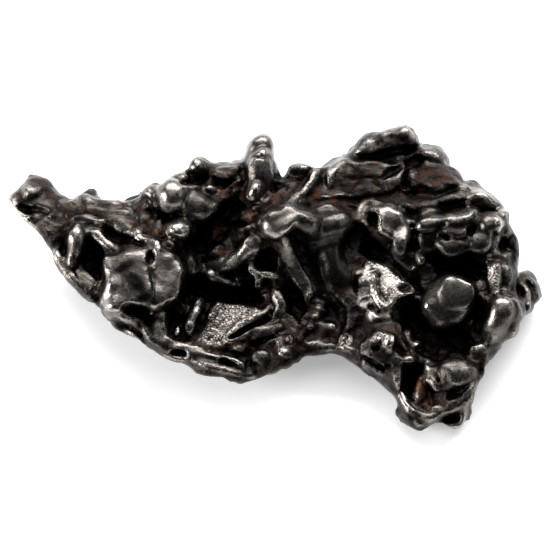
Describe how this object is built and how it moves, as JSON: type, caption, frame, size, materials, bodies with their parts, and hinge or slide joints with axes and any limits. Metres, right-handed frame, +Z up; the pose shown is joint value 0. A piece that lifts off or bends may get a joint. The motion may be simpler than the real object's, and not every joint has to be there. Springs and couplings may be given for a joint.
{
  "type": "meteorite",
  "caption": "Small iron meteorite: long, low, gnarled lump of dark polished nickel-iron with knobs, rope-like ridges, a thin fin, deep black pits and a pointed arm",
  "frame": {"origin": "centre of the bounding box seen from above, at the height of the flat faces that the piece rests on", "axes": "+X along the piece from the pointed arm to the broad end, +Y towards the high back edge with the fin, +Z up off the surface it rests on"},
  "size_m": [0.067, 0.0404, 0.0175],
  "materials": {
    "nickel_iron": "dark handled nickel-iron, half polished on the knobs and ridges, matt with brown rust in the pits"
  },
  "bodies": {
    "root": {"meteorite": "nickel_iron"}
  },
  "joints": []
}
